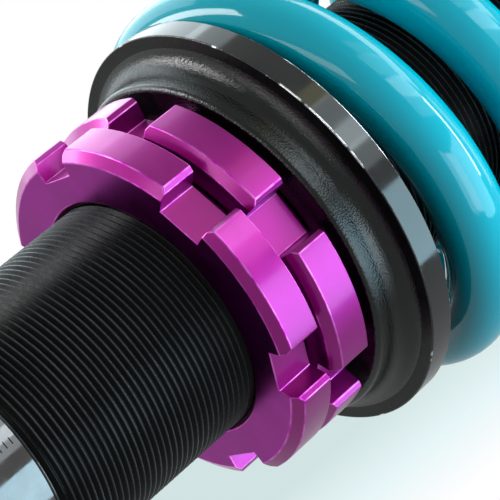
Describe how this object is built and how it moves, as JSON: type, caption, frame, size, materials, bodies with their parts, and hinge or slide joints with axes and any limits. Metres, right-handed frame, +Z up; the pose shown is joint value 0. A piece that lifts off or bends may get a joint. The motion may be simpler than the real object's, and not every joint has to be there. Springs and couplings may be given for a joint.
{
  "type": "coilover",
  "caption": "Height-adjustable coil spring and damper unit with a lower eye, a threaded sleeve with castellated lock rings and a perch, and a pivoting top plate with studs.",
  "frame": {"origin": "centre of the bolt hole in the lower eye", "axes": "+Z up along the damper's axis towards the top plate; +Y along the lower eye's bolt hole; +X completes a right-handed frame and points out of the gas plug"},
  "size_m": [0.12, 0.1146, 0.4738],
  "materials": {
    "forged_steel": "satin black",
    "bright_steel": "turned",
    "black_steel": "black oxide",
    "plated_steel": "bright zinc plated",
    "chromed_steel": "hard chromed and ground",
    "teal_coated_steel": "gloss powder coat",
    "black_aluminium": "black anodised",
    "purple_aluminium": "purple anodised",
    "plain_aluminium": "machined",
    "rubber": "matt",
    "soft_plastic": "foamed",
    "slide_plastic": "smooth",
    "liner_fabric": "woven liner"
  },
  "bodies": {
    "damper": {"lower_eye": "forged_steel", "eye_bush": "rubber", "gas_plug": "bright_steel", "base_seal": "rubber", "damper_tube": "plated_steel", "threaded_sleeve": "black_aluminium", "rod_guide": "plain_aluminium", "guide_bush": "slide_plastic", "rod_seal": "rubber", "gland_nut": "black_steel", "dust_wiper": "rubber"},
    "bolt_sleeve": {"bolt_sleeve": "bright_steel"},
    "perch": {"spring_perch": "black_aluminium", "spring": "teal_coated_steel"},
    "lower_ring": {"lower_lock_ring": "purple_aluminium"},
    "upper_ring": {"upper_lock_ring": "purple_aluminium"},
    "floating_piston": {"floating_piston": "plain_aluminium", "floating_seal": "rubber"},
    "rod": {"piston_rod": "chromed_steel", "piston": "bright_steel", "piston_band": "slide_plastic", "compression_shims": "bright_steel", "rebound_shims": "bright_steel", "piston_nut": "bright_steel", "backing_washer": "bright_steel", "top_out_ring": "soft_plastic", "bump_stop": "soft_plastic", "dust_boot": "rubber", "upper_seat": "black_aluminium", "lower_spacer": "bright_steel", "pivot_ball": "chromed_steel", "upper_spacer": "bright_steel", "top_nut": "bright_steel"},
    "liner": {"ball_liner": "liner_fabric"},
    "top_plate": {"ball_race": "bright_steel", "race_clip": "black_steel", "top_plate": "purple_aluminium", "plate_studs": "plated_steel"},
    "adjuster": {"adjuster_knob": "purple_aluminium", "adjuster_needle": "bright_steel"}
  },
  "joints": [
    {"name": "bush_twist", "type": "hinge", "parent": "damper", "child": "bolt_sleeve", "pos_m": [0, 0, 0], "axis": [0, 1, 0], "range_deg": [-15, 15], "stiffness_Nm_per_rad": 60},
    {"name": "perch_slide", "type": "slide", "parent": "damper", "child": "perch", "axis": [0, 0, 1], "range_m": [-0.045, 0]},
    {"name": "upper_ring_turn", "type": "hinge", "parent": "perch", "child": "upper_ring", "pos_m": [0, 0, 0.1555], "axis": [0, 0, 1], "range_deg": [-10800.5, 0]},
    {"name": "lower_ring_turn", "type": "hinge", "parent": "perch", "child": "lower_ring", "pos_m": [0, 0, 0.144], "axis": [0, 0, 1], "range_deg": [-10800.5, 0]},
    {"name": "damper_stroke", "type": "slide", "parent": "damper", "child": "rod", "axis": [0, 0, 1], "range_m": [-0.065, 0], "stiffness_N_per_m": 120000, "deforming": ["spring", "bump_stop", "dust_boot"]},
    {"name": "floating_piston_slide", "type": "slide", "parent": "damper", "child": "floating_piston", "axis": [0, 0, 1], "range_m": [-0.0125, 0]},
    {"name": "top_tilt", "type": "hinge", "parent": "rod", "child": "liner", "pos_m": [0, 0, 0.4055], "axis": [1, 0, 0], "range_deg": [-10, 10]},
    {"name": "top_swivel", "type": "hinge", "parent": "liner", "child": "top_plate", "pos_m": [0, 0, 0.4055], "axis": [0, 0, 1], "continuous": true},
    {"name": "adjuster_turn", "type": "hinge", "parent": "rod", "child": "adjuster", "pos_m": [0, 0, 0.4378], "axis": [0, 0, 1], "range_deg": [-450, 450]}
  ],
  "couplings": [
    {"joint": "upper_ring_turn", "follows": "perch_slide", "rad_per_m": 4188.8},
    {"joint": "lower_ring_turn", "follows": "perch_slide", "rad_per_m": 4188.8},
    {"joint": "floating_piston_slide", "follows": "damper_stroke", "ratio": 0.18904}
  ]
}
